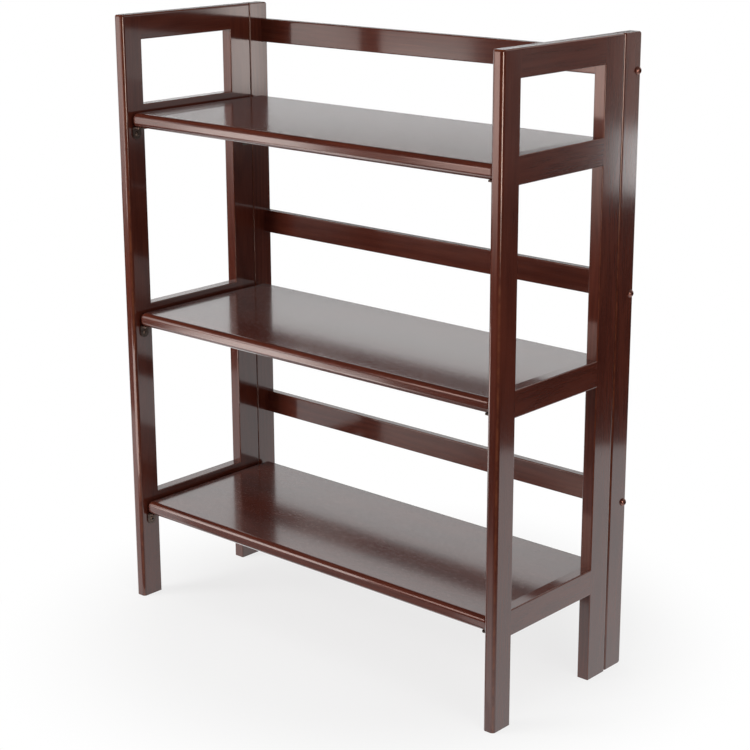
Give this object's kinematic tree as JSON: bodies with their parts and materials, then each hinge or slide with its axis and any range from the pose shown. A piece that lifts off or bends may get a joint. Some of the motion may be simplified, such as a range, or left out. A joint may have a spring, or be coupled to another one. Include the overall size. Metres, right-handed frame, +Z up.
{
  "type": "folding shelf",
  "caption": "Open folding bookcase in dark stained wood: railed side frames hinge to a railed back frame, and round-nosed shelves turn up on rear pins so it can fold flat.",
  "frame": {"origin": "middle of the footprint, at floor level", "axes": "+X to the viewer's right from the front, +Y to the back, +Z up"},
  "size_m": [0.696, 0.284, 0.87],
  "materials": {
    "stained_wood": "dark walnut stain under satin lacquer",
    "dowel_wood": "plain beech",
    "bronzed_steel": "dark bronze plating",
    "browned_steel": "dark brown finish",
    "plain_steel": "zinc plated",
    "nylon": "moulded"
  },
  "bodies": {
    "back_frame": {"back_rail_dowels_left": "dowel_wood", "back_rail_dowels_right": "dowel_wood", "back_rail_lower": "stained_wood", "back_rail_middle": "stained_wood", "back_rail_top": "stained_wood", "back_stile_left": "stained_wood", "back_stile_right": "stained_wood", "barrel_nuts_left": "plain_steel", "barrel_nuts_right": "plain_steel", "hinge_pins_left": "bronzed_steel", "hinge_pins_right": "bronzed_steel", "hinge_stile_leaf_lower_left": "bronzed_steel", "hinge_stile_leaf_lower_right": "bronzed_steel", "hinge_stile_leaf_upper_left": "bronzed_steel", "hinge_stile_leaf_upper_right": "bronzed_steel", "hinge_stile_screws_left": "bronzed_steel", "hinge_stile_screws_right": "bronzed_steel", "pivot_bushes_left": "nylon", "pivot_bushes_right": "nylon", "rail_bolts_left": "browned_steel", "rail_bolts_right": "browned_steel"},
    "left_side": {"bracket_screws_left": "bronzed_steel", "front_post_left": "stained_wood", "hinge_post_leaf_lower_left": "bronzed_steel", "hinge_post_leaf_upper_left": "bronzed_steel", "hinge_post_screws_left": "bronzed_steel", "rear_post_left": "stained_wood", "shelf_bracket_bottom_left": "bronzed_steel", "shelf_bracket_middle_left": "bronzed_steel", "shelf_bracket_top_left": "bronzed_steel", "shelf_rail_bottom_left": "stained_wood", "shelf_rail_middle_left": "stained_wood", "shelf_rail_top_left": "stained_wood", "side_dowels_left": "dowel_wood", "side_top_rail_left": "stained_wood"},
    "right_side": {"bracket_screws_right": "bronzed_steel", "front_post_right": "stained_wood", "hinge_post_leaf_lower_right": "bronzed_steel", "hinge_post_leaf_upper_right": "bronzed_steel", "hinge_post_screws_right": "bronzed_steel", "rear_post_right": "stained_wood", "shelf_bracket_bottom_right": "bronzed_steel", "shelf_bracket_middle_right": "bronzed_steel", "shelf_bracket_top_right": "bronzed_steel", "shelf_rail_bottom_right": "stained_wood", "shelf_rail_middle_right": "stained_wood", "shelf_rail_top_right": "stained_wood", "side_dowels_right": "dowel_wood", "side_top_rail_right": "stained_wood"},
    "shelf_top_board": {"shelf_pivot_pins_top": "plain_steel", "shelf_top": "stained_wood"},
    "shelf_middle_board": {"shelf_middle": "stained_wood", "shelf_pivot_pins_middle": "plain_steel"},
    "shelf_bottom_board": {"shelf_bottom": "stained_wood", "shelf_pivot_pins_bottom": "plain_steel"}
  },
  "joints": [
    {"name": "shelf_top_lift", "type": "hinge", "parent": "back_frame", "child": "shelf_top_board", "pos_m": [0, 0.11425, 0.7205], "axis": [-1, 0, 0], "range_deg": [0, 90]},
    {"name": "shelf_middle_lift", "type": "hinge", "parent": "back_frame", "child": "shelf_middle_board", "pos_m": [0, 0.11425, 0.4295], "axis": [-1, 0, 0], "range_deg": [0, 90]},
    {"name": "shelf_bottom_lift", "type": "hinge", "parent": "back_frame", "child": "shelf_bottom_board", "pos_m": [0, 0.11425, 0.1385], "axis": [-1, 0, 0], "range_deg": [0, 90]},
    {"name": "left_side_fold", "type": "hinge", "parent": "back_frame", "child": "left_side", "pos_m": [-0.3265, 0.10575, 0.435], "axis": [0, 0, 1], "range_deg": [0, 0.6]},
    {"name": "right_side_fold", "type": "hinge", "parent": "back_frame", "child": "right_side", "pos_m": [0.3265, 0.10575, 0.435], "axis": [0, 0, -1], "range_deg": [0, 0.6]}
  ]
}
